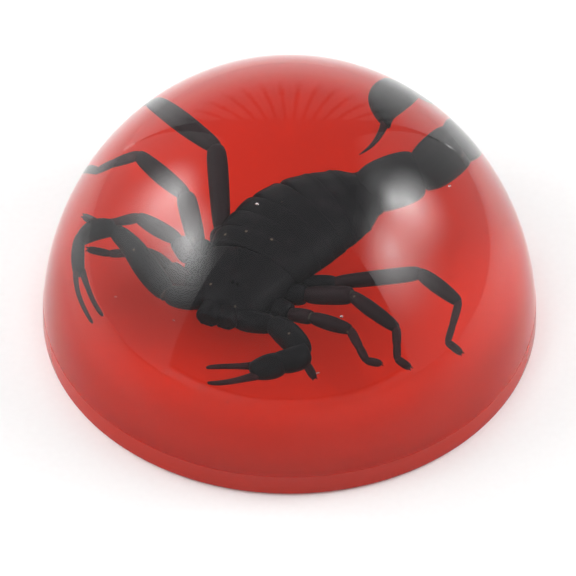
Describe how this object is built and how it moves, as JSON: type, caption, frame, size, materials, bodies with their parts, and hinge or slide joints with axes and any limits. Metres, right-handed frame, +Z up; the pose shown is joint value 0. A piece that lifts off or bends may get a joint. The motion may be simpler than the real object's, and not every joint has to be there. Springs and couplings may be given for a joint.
{
  "type": "scorpion dome paperweight",
  "caption": "Clear resin dome paperweight with a whole black scorpion cast inside, over a thin layer of red resin that makes the flat resting face.",
  "frame": {"origin": "the middle of the flat resting face of the red layer", "axes": "+Z up through the top of the dome; the picture looks along +Y and down, so -Y is its near side; the scorpion's head points to -X -Y and its tail to +X +Y"},
  "size_m": [0.08, 0.08, 0.044],
  "materials": {
    "red_resin": "opaque orange-red casting resin, glossy where it shows at the rim",
    "clear_resin": "clear polished casting resin",
    "scorpion_shell": "blackish-brown dried scorpion shell"
  },
  "bodies": {
    "root": {"red_base": "red_resin", "resin_lower": "clear_resin", "resin_upper": "clear_resin", "scorpion": "scorpion_shell"}
  },
  "joints": []
}
